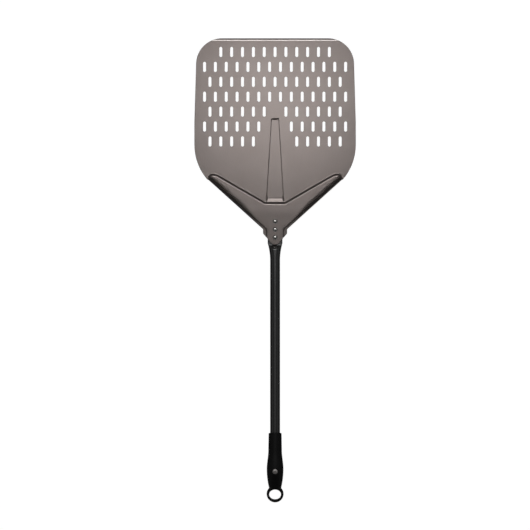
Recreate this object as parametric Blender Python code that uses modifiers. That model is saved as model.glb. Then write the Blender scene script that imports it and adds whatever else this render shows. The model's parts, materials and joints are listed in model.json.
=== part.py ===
"""Perforated pizza peel: a pressed aluminium head riveted to a coated tube, with a moulded grip.

Units are metres and +Z is up. The peel lies on its underside, and +Y runs from the grip to the
front edge of the blade. Distances along the peel are measured back from that front edge.
"""
import math

import bmesh
import bpy
from mathutils import Matrix, Vector
from mathutils.geometry import delaunay_2d_cdt

# Whole peel
LENGTH = 0.948
FRONT_Y = LENGTH / 2
FIT_GAP = 0.0003

# Sheet of the head; heights are those of its upper face
SHEET = 0.0020
RIB_DEPTH = 0.0020
STEP_HEIGHT = 0.0045
FLANGE_DROP = 0.0069
BLADE_TOP = RIB_DEPTH + SHEET
NECK_RISE_ANGLE = math.radians(7.0)
NECK_BEND_START = 0.338
NECK_BEND_END = 0.370

# Outline of the blade
FRONT_CORNER_RADIUS = 0.0528
FRONT_HALF_WIDTH = 0.1615
HALF_WIDTH = 0.1650
WIDEST_START = 0.171
WIDEST_END = 0.218
REAR_CORNER_RADIUS = 0.1084
REAR_CORNER_SWEEP = math.radians(40.6)
CHAMFER_WIDTH = 0.0026
CHAMFER_DEPTH = 0.0014

# Outline of the wings, the ears beside the neck and the tongue
WING_CORNER = (0.1363, 0.2897)
EAR_HALF_WIDTH = 0.0246
EAR_START = 0.3900
EAR_END = 0.3992
TONGUE_RADIUS = 0.0108
TONGUE_CENTER = 0.4115

# Pressed step: the upper edge of the wings and the neck
STEP_CENTER = (0.0203, 0.3368)
STEP_SLOPE = math.radians(29.9)
STEP_TIP_DISTANCE = 0.2787
STEP_TIP_CORNER = (0.1318, 0.2800)
STEP_TIP_SIDE = (0.1352, 0.2845)
STEP_HALF_RUN = 0.0036
FLANGE_RUN = 0.0140
FLANGE_STEEPEST = 0.92
EAR_FLANGE_RUN = 0.0072

# Tapered rib
RIB_START = 0.1655
RIB_END = 0.3345
RIB_START_HALF_WIDTH = 0.0077
RIB_END_HALF_WIDTH = 0.0182
RIB_WALL_RUN = 0.0030
RIB_RAMP_RUN = 0.0065

# Slots: pitch across, and for each row the first and the last place counted in pitches
SLOT_WIDTH = 0.0060
SLOT_LENGTH = 0.0208
SLOT_PITCH = 0.02219
SLOT_ROW_PITCH = 0.0305
FIRST_SLOT_ROW = 0.0279
SLOT_ROWS = ((0.0, 5.0), (0.5, 6.5), (0.0, 6.0), (0.5, 6.5), (1.0, 6.0), (1.5, 6.5), (2.0, 6.0))

# Handle; stations run along its axis from the end of the neck towards the grip
HANDLE_START = 0.4115
TUBE_RADIUS = 0.0100
TUBE_WALL = 0.0015
FLAT_HALF_WIDTH = 0.0151
FLAT_HALF_HEIGHT = 0.0018
TUBE_FRONT = -0.0475
WIDTH_TAPER_START = 0.0070
WIDTH_TAPER_RUN = 0.0360
HEIGHT_TAPER_START = 0.0112
HEIGHT_TAPER_RUN = 0.0270
TUBE_END = 0.4855

# Neck rivets
NECK_RIVET_STATIONS = (-0.0371, -0.0206, -0.0041)
RIVET_HEAD_RADIUS = 0.0050
RIVET_HEAD_HEIGHT = 0.0026
RIVET_SHANK_RADIUS = 0.0025
RIVET_TAIL_RADIUS = 0.0045
RIVET_TAIL_HEIGHT = 0.0018

# Grip with its hanging ring
GRIP_START = 0.3978
GRIP_MOUTH_RADIUS = 0.0132
GRIP_SLEEVE_RADIUS = 0.0138
GRIP_SLEEVE_END = 0.4330
GRIP_SWELL_STATION = 0.4712
GRIP_SWELL_HALF_WIDTH = 0.0170
GRIP_SWELL_HALF_HEIGHT = 0.0152
GRIP_WAIST_STATION = 0.5090
GRIP_WAIST_HALF_WIDTH = 0.0127
GRIP_FLATTEN_START = 0.4765
GRIP_FLATTEN_END = 0.5190
RING_STATION = 0.5225
RING_RADIUS = 0.0173
RING_HALF_THICKNESS = 0.0047
RING_HOLE_STATION = 0.5236
RING_HOLE_HALF_WIDTH = 0.01205
RING_HOLE_HALF_LENGTH = 0.0099
RING_EDGE_ROUNDING = 0.0030
GRIP_MOUTH_ROUNDING = 0.0010
GRIP_RING_OVERLAP = 0.0035

# Blind rivet of the grip
GRIP_RIVET_STATION = 0.4784
GRIP_SEAT_HEIGHT = 0.0142
BLIND_HEAD_RADIUS = 0.0052
BLIND_HEAD_HEIGHT = 0.0017
BLIND_BODY_RADIUS = 0.0024
BLIND_BORE_RADIUS = 0.0013
BLIND_RIM_DROP = 0.0001
BLIND_BULB_RADIUS = 0.0034
BLIND_BULB_SHOULDER = 0.0009
BLIND_BULB_DEPTH = 0.0024
BLIND_END_HEIGHT = 0.0035
PIN_RADIUS = 0.0010
PIN_BREAK_DEPTH = 0.0006
PIN_BREAK_CHAMFER = 0.0002
PIN_HEAD_RADIUS = 0.0022
PIN_RIM_HEIGHT = 0.0008
PIN_CROWN_HEIGHT = 0.0012

# Farther than any cut has to reach
REACH = 0.05

# Facets
FRONT_CORNER_STEPS = 12
REAR_CORNER_STEPS = 8
TONGUE_STEPS = 5
SLOT_END_STEPS = 4
HOLE_SIDES = 12
RING_SIDES = 40
RING_HOLE_SIDES = 32
SEAT_SIDES = 24
TUBE_SIDES = 28
GRIP_SIDES = 28
TUBE_TAPER_STEPS = 9
GRIP_STEPS = 12
TURNED_STEPS = 24
DOME_STEPS = 5
NECK_BEND_STEPS = 4


def clamp(value):
    """The value held between 0 and 1."""
    return max(0.0, min(1.0, value))


def ease(value):
    """A smooth step from 0 to 1."""
    value = clamp(value)
    return value * value * (3.0 - 2.0 * value)


def collection(name):
    """A new collection in the scene."""
    made = bpy.data.collections.new(name)
    bpy.context.scene.collection.children.link(made)
    return made


def material(name, color, roughness, metallic):
    """A Principled material."""
    made = bpy.data.materials.new(name)
    made.use_nodes = True
    shader = made.node_tree.nodes["Principled BSDF"]
    shader.inputs["Base Color"].default_value = (*color, 1.0)
    shader.inputs["Roughness"].default_value = roughness
    shader.inputs["Metallic"].default_value = metallic
    return made


def add_object(name, mesh, group, finish=None):
    """An object for a mesh, in a collection and with its material."""
    made = bpy.data.objects.new(name, mesh)
    group.objects.link(made)
    if finish:
        mesh.materials.append(finish)
    return made


def shade_round(mesh, degrees=30.0):
    """Smooth shading that keeps the sharp edges."""
    mesh.shade_smooth()
    mesh.set_sharp_from_angle(angle=math.radians(degrees))


def mesh_from(name, build):
    """A mesh filled by a function that works on a bmesh."""
    mesh = bpy.data.meshes.new(name)
    work = bmesh.new()
    build(work)
    work.to_mesh(mesh)
    work.free()
    return mesh


def cut(target, cutter, name):
    """A Boolean cut that stays on the target."""
    modifier = target.modifiers.new(name, "BOOLEAN")
    modifier.operation = "DIFFERENCE"
    modifier.solver = "EXACT"
    modifier.object = cutter


def hide_cutter(cutter):
    """Show a cutter as a wire frame and leave it out of the render."""
    cutter.hide_render = True
    cutter.display_type = "WIRE"


def cylinder_cutter(name, radius, low, high, group, sides, stretch=1.0):
    """An upright cylinder between two heights; stretch scales it along Y."""
    def build(work):
        bmesh.ops.create_cone(work, cap_ends=True, segments=sides, radius1=radius,
                              radius2=radius, depth=high - low)
        bmesh.ops.scale(work, vec=(1.0, stretch, 1.0), verts=work.verts)
        bmesh.ops.translate(work, vec=(0.0, 0.0, (low + high) / 2), verts=work.verts)
    made = add_object(name, mesh_from(name, build), group)
    hide_cutter(made)
    return made


# ---------------------------------------------------------------- pressed head

def arc(center, radius, start, end, segments):
    """Points on an arc; angles run from +X towards the handle."""
    points = []
    for index in range(segments + 1):
        angle = start + (end - start) * index / segments
        points.append((center[0] + radius * math.cos(angle), center[1] + radius * math.sin(angle)))
    return points


def head_outline():
    """The closed outline of the head: its right half, then the same points mirrored."""
    front_center = (FRONT_HALF_WIDTH - FRONT_CORNER_RADIUS, FRONT_CORNER_RADIUS)
    rear_center = (HALF_WIDTH - REAR_CORNER_RADIUS, WIDEST_END)
    right = arc(front_center, FRONT_CORNER_RADIUS, -math.pi / 2, 0.0, FRONT_CORNER_STEPS)
    right.append((HALF_WIDTH, WIDEST_START))
    right += arc(rear_center, REAR_CORNER_RADIUS, 0.0, REAR_CORNER_SWEEP, REAR_CORNER_STEPS)
    right += [WING_CORNER, (EAR_HALF_WIDTH, EAR_START), (EAR_HALF_WIDTH, EAR_END)]
    ear_offset = EAR_END - TONGUE_CENTER
    ear_reach = math.hypot(EAR_HALF_WIDTH, ear_offset)
    contact = math.atan2(ear_offset, EAR_HALF_WIDTH) + math.acos(TONGUE_RADIUS / ear_reach)
    right += arc((0.0, TONGUE_CENTER), TONGUE_RADIUS, contact, math.pi / 2, TONGUE_STEPS)
    left = [(-x, distance) for x, distance in reversed(right[:-1])]
    return right + left


def slot_outline(x, distance):
    """A slot with round ends, its length along the peel."""
    radius = SLOT_WIDTH / 2
    straight = SLOT_LENGTH / 2 - radius
    rear = arc((x, distance + straight), radius, 0.0, math.pi, SLOT_END_STEPS)
    front = arc((x, distance - straight), radius, math.pi, 2 * math.pi, SLOT_END_STEPS)
    return rear + front


def slot_outlines():
    """Every slot, row by row from the front edge."""
    outlines = []
    for row, (first, last) in enumerate(SLOT_ROWS):
        distance = FIRST_SLOT_ROW + row * SLOT_ROW_PITCH
        for index in range(int(last - first) + 1):
            x = (first + index) * SLOT_PITCH
            outlines.append(slot_outline(x, distance))
            if x > 0.0:
                outlines.append(slot_outline(-x, distance))
    return outlines


def rivet_distance(station):
    """Where a station on the handle lies, measured back from the front edge."""
    return HANDLE_START + station * math.cos(NECK_RISE_ANGLE)


def rivet_hole_outlines():
    """The three rivet holes in the neck."""
    outlines = []
    radius = RIVET_SHANK_RADIUS + FIT_GAP
    for station in NECK_RIVET_STATIONS:
        center = (0.0, rivet_distance(station))
        outlines.append(arc(center, radius, 0.0, 2 * math.pi, HOLE_SIDES)[:-1])
    return outlines


def side_of(point, start, end):
    """How far a point lies to the handle side of a line that runs outwards from start to end."""
    run = (end[0] - start[0], end[1] - start[1])
    offset = (point[0] - start[0], point[1] - start[1])
    return (run[0] * offset[1] - run[1] * offset[0]) / math.hypot(*run)


def inside_step(x, distance):
    """Distance inside the raised wings and neck; negative on the blade."""
    point = (abs(x), distance)
    arm_end = (STEP_CENTER[0] + REACH, STEP_CENTER[1] - REACH * math.tan(STEP_SLOPE))
    neck = distance - STEP_CENTER[1]
    arm = side_of(point, STEP_CENTER, arm_end)
    tip = distance - STEP_TIP_DISTANCE
    corner = side_of(point, STEP_TIP_CORNER, STEP_TIP_SIDE)
    side = side_of(point, STEP_TIP_SIDE, WING_CORNER)
    return min(max(neck, arm), tip, corner, side)


def inside_flange(x, distance):
    """How far in from the folded edge, as a share of the flange's width."""
    ear_corner = (EAR_HALF_WIDTH, EAR_START)
    wing = -side_of((abs(x), distance), ear_corner, WING_CORNER)
    ear = EAR_HALF_WIDTH - abs(x)
    return clamp(max(wing / FLANGE_RUN, ear / EAR_FLANGE_RUN))


def flange_fall(share):
    """Height lost at a share of the flange's width: a quarter of an ellipse, cut short."""
    outward = (1.0 - share) * FLANGE_STEEPEST
    full = 1.0 - math.sqrt(1.0 - FLANGE_STEEPEST ** 2)
    return FLANGE_DROP * (1.0 - math.sqrt(1.0 - outward * outward)) / full


def neck_rise(distance):
    """The neck curves upwards and then runs straight at the handle's angle."""
    slope = math.tan(NECK_RISE_ANGLE)
    bend = NECK_BEND_END - NECK_BEND_START
    if distance < NECK_BEND_END:
        return slope * max(0.0, distance - NECK_BEND_START) ** 2 / (2.0 * bend)
    return slope * (distance - NECK_BEND_END + bend / 2)


def rib_share(x, distance):
    """How much of the rib's depth is reached at a point."""
    along = (distance - RIB_START) / (RIB_END - RIB_START)
    half_width = RIB_START_HALF_WIDTH + along * (RIB_END_HALF_WIDTH - RIB_START_HALF_WIDTH)
    wall = (half_width - abs(x)) / RIB_WALL_RUN
    start = (distance - RIB_START) / RIB_WALL_RUN
    ramp = (RIB_END - distance) / RIB_RAMP_RUN
    return clamp(min(wall, start, ramp))


def head_height(x, distance):
    """Height of the sheet's upper face."""
    raised = ease((inside_step(x, distance) + STEP_HALF_RUN) / (2 * STEP_HALF_RUN))
    folded = flange_fall(inside_flange(x, distance))
    lift = STEP_HEIGHT + neck_rise(distance) - folded
    return BLADE_TOP + raised * lift - RIB_DEPTH * rib_share(x, distance)


def step_line(inset):
    """A line that follows the step at a constant inset, from the centre past the wing's side."""
    mitre = inset * math.tan(STEP_SLOPE / 2)
    rise = inset / math.cos(STEP_SLOPE)
    tip = STEP_TIP_DISTANCE + inset
    arm_x = STEP_CENTER[0] + (STEP_CENTER[1] + rise - tip) / math.tan(STEP_SLOPE)
    corner = Vector(STEP_TIP_SIDE) - Vector(STEP_TIP_CORNER)
    turn = math.atan2(corner.y, corner.x)
    corner_x = STEP_TIP_CORNER[0] - (STEP_TIP_CORNER[1] - STEP_TIP_DISTANCE) / math.tan(turn)
    side = Vector(STEP_TIP_SIDE) + inset * Vector((-corner.y, corner.x)).normalized()
    past_edge = side + 2 * (Vector(WING_CORNER) - Vector(STEP_TIP_SIDE))
    return [(0.0, STEP_CENTER[1] + inset), (STEP_CENTER[0] + mitre, STEP_CENTER[1] + inset),
            (arm_x, tip), (corner_x - inset * math.tan(turn / 2), tip), tuple(side),
            tuple(past_edge)]


def flange_line(share):
    """A line that follows the folded edge at a share of the flange's width."""
    corner = Vector((EAR_HALF_WIDTH, EAR_START))
    edge = (corner - Vector(WING_CORNER)).normalized()
    inward = Vector((-edge.y, edge.x)) * share * FLANGE_RUN
    ear_x = EAR_HALF_WIDTH - share * EAR_FLANGE_RUN
    start = Vector(WING_CORNER) + inward - edge * FLANGE_RUN
    bend = start + edge * ((ear_x - start.x) / edge.x)
    return [tuple(start), tuple(bend), (ear_x, TONGUE_CENTER)]


def rib_line(share):
    """The rib's closed contour at a share of its depth."""
    start = RIB_START + share * RIB_WALL_RUN
    end = RIB_END - share * RIB_RAMP_RUN
    taper = (RIB_END_HALF_WIDTH - RIB_START_HALF_WIDTH) / (RIB_END - RIB_START)
    start_x = RIB_START_HALF_WIDTH + taper * (start - RIB_START) - share * RIB_WALL_RUN
    end_x = RIB_START_HALF_WIDTH + taper * (end - RIB_START) - share * RIB_WALL_RUN
    return [(start_x, start), (end_x, end), (-end_x, end), (-start_x, start)]


def mirrored(line):
    """The same line on the other side of the peel."""
    return [(-x, distance) for x, distance in line]


def crease_lines():
    """Open lines along which the sheet bends."""
    lines = []
    for share in (-1.0, -0.35, 0.35, 1.0):
        lines.append(step_line(share * STEP_HALF_RUN))
    for share in (0.25, 0.5, 0.75, 1.0):
        lines.append(flange_line(share))
    lines += [mirrored(line) for line in lines]
    for index in range(NECK_BEND_STEPS + 1):
        share = index / NECK_BEND_STEPS
        distance = NECK_BEND_START + (NECK_BEND_END - NECK_BEND_START) * share
        lines.append([(-HALF_WIDTH, distance), (HALF_WIDTH, distance)])
    return lines


def encloses(outline, x, distance):
    """Whether an outline goes round a point."""
    inside = False
    previous = outline[-1]
    for point in outline:
        if (point[1] > distance) != (previous[1] > distance):
            share = (distance - point[1]) / (previous[1] - point[1])
            if x < point[0] + share * (previous[0] - point[0]):
                inside = not inside
        previous = point
    return inside


def flat_triangles():
    """The head as flat triangles that respect its outline, its holes and its creases."""
    outline = head_outline()
    holes = slot_outlines() + rivet_hole_outlines()
    points = []
    edges = []
    for loop in [outline, *holes, rib_line(0.0), rib_line(1.0)]:
        first = len(points)
        points += [Vector(point) for point in loop]
        edges += [(first + index, first + (index + 1) % len(loop)) for index in range(len(loop))]
    for line in crease_lines():
        first = len(points)
        points += [Vector(point) for point in line]
        edges += [(first + index, first + index + 1) for index in range(len(line) - 1)]
    places, _, triangles, *_ = delaunay_2d_cdt(points, edges, [], 0, 1e-6)
    kept = []
    for triangle in triangles:
        center = sum((places[corner] for corner in triangle), Vector((0.0, 0.0))) / 3.0
        in_hole = any(encloses(hole, *center) for hole in holes)
        if encloses(outline, *center) and not in_hole:
            kept.append(triangle)
    return places, kept


def build_head_sheet(work):
    """The upper face of the head, pressed to its heights."""
    places, triangles = flat_triangles()
    corners = {}
    for triangle in triangles:
        for index in triangle:
            if index not in corners:
                x, distance = places[index]
                height = head_height(x, distance)
                corners[index] = work.verts.new((x, FRONT_Y - distance, height))
        work.faces.new([corners[index] for index in triangle])
    bmesh.ops.recalc_face_normals(work, faces=work.faces)
    if sum(face.normal.z for face in work.faces) < 0.0:
        bmesh.ops.reverse_faces(work, faces=work.faces)


def build_chamfer_cutter(work):
    """A wedge along the front edge, longer than the blade is wide."""
    bmesh.ops.create_cube(work, size=1.0)
    size = (2 * (HALF_WIDTH + REACH), REACH, REACH)
    bmesh.ops.scale(work, vec=size, verts=work.verts)
    bmesh.ops.translate(work, vec=(0.0, 0.0, REACH / 2), verts=work.verts)
    slope = math.atan2(CHAMFER_DEPTH, CHAMFER_WIDTH)
    bmesh.ops.rotate(work, matrix=Matrix.Rotation(-slope, 3, "X"), verts=work.verts)
    edge = (0.0, FRONT_Y - CHAMFER_WIDTH, BLADE_TOP)
    bmesh.ops.translate(work, vec=edge, verts=work.verts)


def make_head(parts, cutters, finish):
    """The perforated blade with its step, rib, wings, flanges and tongue."""
    head = add_object("blade_head", mesh_from("blade_head", build_head_sheet), parts, finish)
    thickness = head.modifiers.new("sheet_thickness", "SOLIDIFY")
    thickness.solidify_mode = "NON_MANIFOLD"
    thickness.nonmanifold_thickness_mode = "CONSTRAINTS"
    thickness.thickness = SHEET
    thickness.offset = -1.0
    chamfer = mesh_from("front_chamfer_cutter", build_chamfer_cutter)
    cutter = add_object("front_chamfer_cutter", chamfer, cutters)
    hide_cutter(cutter)
    cut(head, cutter, "front_chamfer")


# ---------------------------------------------------------------- handle

def make_handle_frame(group):
    """An empty on the handle's axis, tilted with the neck; its -Y runs towards the grip."""
    frame = bpy.data.objects.new("handle_frame", None)
    group.objects.link(frame)
    below_neck = SHEET + FIT_GAP + FLAT_HALF_HEIGHT
    height = BLADE_TOP + STEP_HEIGHT + neck_rise(HANDLE_START)
    frame.location = (0.0, FRONT_Y - HANDLE_START - below_neck * math.sin(NECK_RISE_ANGLE),
                      height - below_neck * math.cos(NECK_RISE_ANGLE))
    frame.rotation_euler = (-NECK_RISE_ANGLE, 0.0, 0.0)
    return frame


def place_on_handle(piece, frame, station=0.0):
    """Parent a piece to the handle's frame, at a station along it."""
    piece.parent = frame
    piece.location = (0.0, -station, 0.0)


def squeezed_section(half_width, half_height, sides):
    """A ring of points: two half circles joined by flats, as a squeezed tube has."""
    points = []
    flat = half_width - half_height
    for index in range(sides):
        angle = 2 * math.pi * (index + 0.5) / sides
        across = half_height * math.cos(angle) + math.copysign(flat, math.cos(angle))
        points.append((across, half_height * math.sin(angle)))
    return points


def elliptic_section(half_width, half_height, sides):
    """A ring of points on an ellipse."""
    points = []
    for index in range(sides):
        angle = 2 * math.pi * (index + 0.5) / sides
        points.append((half_width * math.cos(angle), half_height * math.sin(angle)))
    return points


def skin(work, stations, sections, closed):
    """Join sections into one surface along -Y, with end caps if it is closed."""
    rings = []
    for station, section in zip(stations, sections):
        rings.append([work.verts.new((x, -station, z)) for x, z in section])
    for near, far in zip(rings, rings[1:]):
        for index in range(len(near)):
            following = (index + 1) % len(near)
            work.faces.new((near[index], near[following], far[following], far[index]))
    if closed:
        work.faces.new(list(reversed(rings[0])))
        work.faces.new(rings[-1])
    bmesh.ops.recalc_face_normals(work, faces=work.faces)


def tube_section(station):
    """The tube is flat under the neck and opens out to its round section."""
    narrowing = clamp((station - WIDTH_TAPER_START) / WIDTH_TAPER_RUN)
    opening = clamp((station - HEIGHT_TAPER_START) / HEIGHT_TAPER_RUN)
    half_width = TUBE_RADIUS + (FLAT_HALF_WIDTH - TUBE_RADIUS) * (1.0 - narrowing) ** 2
    half_height = TUBE_RADIUS + (FLAT_HALF_HEIGHT - TUBE_RADIUS) * (1.0 - opening) ** 2
    return squeezed_section(half_width, min(half_width, half_height), TUBE_SIDES)


def build_tube_skin(work):
    """The outer surface of the tube."""
    taper_run = WIDTH_TAPER_START + WIDTH_TAPER_RUN - HEIGHT_TAPER_START
    stations = [TUBE_FRONT, WIDTH_TAPER_START]
    for index in range(TUBE_TAPER_STEPS + 1):
        stations.append(HEIGHT_TAPER_START + taper_run * index / TUBE_TAPER_STEPS)
    stations.append(TUBE_END)
    skin(work, stations, [tube_section(station) for station in stations], closed=False)


def make_tube(parts, cutters, frame, finish):
    """The handle tube, its front end squeezed flat and drilled for the rivets."""
    tube = add_object("handle_tube", mesh_from("handle_tube", build_tube_skin), parts, finish)
    shade_round(tube.data)
    place_on_handle(tube, frame)
    wall = tube.modifiers.new("tube_wall", "SOLIDIFY")
    wall.thickness = TUBE_WALL
    wall.offset = -1.0
    wall.use_even_offset = True
    hole_radius = RIVET_SHANK_RADIUS + FIT_GAP
    for number, station in enumerate(NECK_RIVET_STATIONS, start=1):
        name = f"neck_rivet_hole_cutter_{number}"
        cutter = cylinder_cutter(name, hole_radius, -REACH / 4, REACH / 4, cutters, HOLE_SIDES)
        place_on_handle(cutter, frame, station)
        cut(tube, cutter, f"neck_rivet_hole_{number}")
    blind_radius = BLIND_BODY_RADIUS + FIT_GAP
    cutter = cylinder_cutter("tube_rivet_hole_cutter", blind_radius, TUBE_RADIUS / 2, REACH / 2,
                             cutters, HOLE_SIDES)
    place_on_handle(cutter, frame, GRIP_RIVET_STATION)
    cut(tube, cutter, "grip_rivet_hole")


def turned(name, profile, group, finish, hollow=False):
    """A solid of revolution from a profile in the XZ plane, run from top to bottom."""
    mesh = bpy.data.meshes.new(name)
    points = [(radius, 0.0, height) for radius, height in profile]
    edges = [(index, index + 1) for index in range(len(points) - 1)]
    if hollow:
        edges.append((len(points) - 1, 0))
    mesh.from_pydata(points, edges, [])
    made = add_object(name, mesh, group, finish)
    screw = made.modifiers.new("turned", "SCREW")
    screw.steps = TURNED_STEPS
    screw.render_steps = TURNED_STEPS
    screw.use_merge_vertices = True
    screw.merge_threshold = 0.00001
    screw.use_smooth_shade = True
    return made


def dome(radius, height, base):
    """Profile points of a shallow dome, from its crown down to its rim."""
    sphere = (radius * radius + height * height) / (2 * height)
    sweep = math.asin(radius / sphere)
    points = []
    for index in range(DOME_STEPS + 1):
        angle = sweep * index / DOME_STEPS
        points.append((sphere * math.sin(angle), base + height - sphere * (1.0 - math.cos(angle))))
    return points


def make_neck_rivets(parts, frame, finish):
    """Three solid rivets through the neck and the flattened tube."""
    head_base = FLAT_HALF_HEIGHT + FIT_GAP + SHEET + FIT_GAP
    tail_base = -FLAT_HALF_HEIGHT - FIT_GAP
    profile = dome(RIVET_HEAD_RADIUS, RIVET_HEAD_HEIGHT, head_base)
    profile += [(RIVET_SHANK_RADIUS, head_base), (RIVET_SHANK_RADIUS, tail_base)]
    tail = dome(RIVET_TAIL_RADIUS, RIVET_TAIL_HEIGHT, 0.0)
    profile += [(radius, tail_base - height) for radius, height in reversed(tail)]
    for number, station in enumerate(NECK_RIVET_STATIONS, start=1):
        rivet = turned(f"neck_rivet_{number}", profile, parts, finish)
        place_on_handle(rivet, frame, station)


def grip_half_width(station):
    """Plan outline of the grip: a sleeve, a swell and a waist."""
    if station < GRIP_SLEEVE_END:
        share = (station - GRIP_START) / (GRIP_SLEEVE_END - GRIP_START)
        return GRIP_MOUTH_RADIUS + share * (GRIP_SLEEVE_RADIUS - GRIP_MOUTH_RADIUS)
    if station < GRIP_SWELL_STATION:
        share = (station - GRIP_SLEEVE_END) / (GRIP_SWELL_STATION - GRIP_SLEEVE_END)
        return GRIP_SLEEVE_RADIUS + ease(share) * (GRIP_SWELL_HALF_WIDTH - GRIP_SLEEVE_RADIUS)
    share = (station - GRIP_SWELL_STATION) / (GRIP_WAIST_STATION - GRIP_SWELL_STATION)
    return GRIP_SWELL_HALF_WIDTH - (GRIP_SWELL_HALF_WIDTH - GRIP_WAIST_HALF_WIDTH) * share ** 2


def grip_half_height(station):
    """Side outline of the grip: round on the tube, then flattened towards the ring."""
    swelling = ease((station - GRIP_SLEEVE_END) / (GRIP_SWELL_STATION - GRIP_SLEEVE_END))
    sleeve = min(grip_half_width(station), GRIP_SLEEVE_RADIUS)
    full = sleeve + swelling * (GRIP_SWELL_HALF_HEIGHT - GRIP_SLEEVE_RADIUS)
    flattening = ease((station - GRIP_FLATTEN_START) / (GRIP_FLATTEN_END - GRIP_FLATTEN_START))
    if station > GRIP_SWELL_STATION:
        full = GRIP_SWELL_HALF_HEIGHT
    return full + flattening * (RING_HALF_THICKNESS - full)


def build_grip_body(work):
    """The grip from its mouth to the place where it joins the ring."""
    stations = [GRIP_START + GRIP_MOUTH_ROUNDING]
    for index in range(GRIP_STEPS + 1):
        share = index / GRIP_STEPS
        stations.append(GRIP_SLEEVE_END + (GRIP_WAIST_STATION - GRIP_SLEEVE_END) * share)
    sections = []
    for station in stations:
        sections.append(elliptic_section(grip_half_width(station), grip_half_height(station),
                                         GRIP_SIDES))
    mouth = GRIP_MOUTH_RADIUS - GRIP_MOUTH_ROUNDING
    inside_ring = GRIP_WAIST_STATION + GRIP_RING_OVERLAP
    tip = elliptic_section(grip_half_width(inside_ring), grip_half_height(inside_ring), GRIP_SIDES)
    stations = [GRIP_START, *stations, inside_ring]
    sections = [elliptic_section(mouth, mouth, GRIP_SIDES), *sections, tip]
    skin(work, stations, sections, closed=True)


def make_hanging_ring(group, frame):
    """The disc of the hanging ring, before it is joined to the grip."""
    def build(work):
        bmesh.ops.create_cone(work, cap_ends=True, segments=RING_SIDES, radius1=RING_RADIUS,
                              radius2=RING_RADIUS, depth=2 * RING_HALF_THICKNESS)
    ring = add_object("hanging_ring_joiner", mesh_from("hanging_ring_joiner", build), group)
    hide_cutter(ring)
    place_on_handle(ring, frame, RING_STATION)
    rounding = ring.modifiers.new("ring_edges", "BEVEL")
    rounding.width = RING_EDGE_ROUNDING
    rounding.segments = 3
    rounding.limit_method = "ANGLE"
    return ring


def make_bore_cutter(group, frame):
    """The blind bore that takes the tube, turned so that its facets match the tube's."""
    depth = TUBE_END + FIT_GAP - GRIP_START
    bore = cylinder_cutter("grip_bore_cutter", TUBE_RADIUS + FIT_GAP, -depth, REACH, group,
                           TUBE_SIDES)
    bore.parent = frame
    bore.matrix_local = (Matrix.Translation((0.0, -GRIP_START, 0.0))
                         @ Matrix.Rotation(-math.pi / 2, 4, "X")
                         @ Matrix.Rotation(math.pi / TUBE_SIDES, 4, "Z"))
    return bore


def make_grip(parts, cutters, frame, finish):
    """The moulded grip with its blind bore, its rivet seat and its hanging ring."""
    grip = add_object("hand_grip", mesh_from("hand_grip", build_grip_body), parts, finish)
    shade_round(grip.data)
    place_on_handle(grip, frame)
    join = grip.modifiers.new("hanging_ring", "BOOLEAN")
    join.operation = "UNION"
    join.solver = "EXACT"
    join.object = make_hanging_ring(cutters, frame)
    stretch = RING_HOLE_HALF_LENGTH / RING_HOLE_HALF_WIDTH
    hole = cylinder_cutter("ring_hole_cutter", RING_HOLE_HALF_WIDTH, -REACH / 2, REACH / 2,
                           cutters, RING_HOLE_SIDES, stretch)
    place_on_handle(hole, frame, RING_HOLE_STATION)
    cut(grip, hole, "ring_hole")
    cut(grip, make_bore_cutter(cutters, frame), "tube_bore")
    shank = cylinder_cutter("grip_rivet_hole_cutter", BLIND_BODY_RADIUS + FIT_GAP,
                            TUBE_RADIUS / 2, REACH, cutters, HOLE_SIDES)
    place_on_handle(shank, frame, GRIP_RIVET_STATION)
    cut(grip, shank, "rivet_hole")
    seat = cylinder_cutter("rivet_seat_cutter", BLIND_HEAD_RADIUS + 2 * FIT_GAP,
                           GRIP_SEAT_HEIGHT, REACH, cutters, SEAT_SIDES)
    place_on_handle(seat, frame, GRIP_RIVET_STATION)
    cut(grip, seat, "rivet_seat")


def make_blind_rivet(parts, frame, finish):
    """The hollow body of the blind rivet, its bulb spread inside the tube."""
    head_base = GRIP_SEAT_HEIGHT + FIT_GAP
    bulb_top = TUBE_RADIUS - TUBE_WALL - 2 * FIT_GAP
    outer = [point for point in dome(BLIND_HEAD_RADIUS, BLIND_HEAD_HEIGHT, head_base)
             if point[0] > BLIND_BORE_RADIUS]
    rim = (BLIND_BORE_RADIUS, head_base + BLIND_HEAD_HEIGHT - BLIND_RIM_DROP)
    profile = [rim, *outer, (BLIND_BODY_RADIUS, head_base), (BLIND_BODY_RADIUS, bulb_top),
               (BLIND_BULB_RADIUS, bulb_top - BLIND_BULB_SHOULDER),
               (BLIND_BULB_RADIUS, bulb_top - BLIND_BULB_DEPTH),
               (BLIND_BODY_RADIUS, BLIND_END_HEIGHT), (BLIND_BORE_RADIUS, BLIND_END_HEIGHT)]
    body = turned("grip_rivet", profile, parts, finish, hollow=True)
    place_on_handle(body, frame, GRIP_RIVET_STATION)


def make_rivet_pin(parts, frame, finish):
    """The captive pin of the blind rivet, broken off just below the head's crown."""
    top = GRIP_SEAT_HEIGHT + FIT_GAP + BLIND_HEAD_HEIGHT - PIN_BREAK_DEPTH
    shoulder = BLIND_END_HEIGHT - FIT_GAP
    rim = shoulder - PIN_RIM_HEIGHT
    profile = [(0.0, top), (PIN_RADIUS - PIN_BREAK_CHAMFER, top),
               (PIN_RADIUS, top - PIN_BREAK_CHAMFER), (PIN_RADIUS, shoulder),
               (PIN_HEAD_RADIUS, shoulder)]
    crown = dome(PIN_HEAD_RADIUS, PIN_CROWN_HEIGHT, 0.0)
    profile += [(radius, rim - height) for radius, height in reversed(crown)]
    pin = turned("grip_rivet_mandrel", profile, parts, finish)
    place_on_handle(pin, frame, GRIP_RIVET_STATION)


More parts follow.
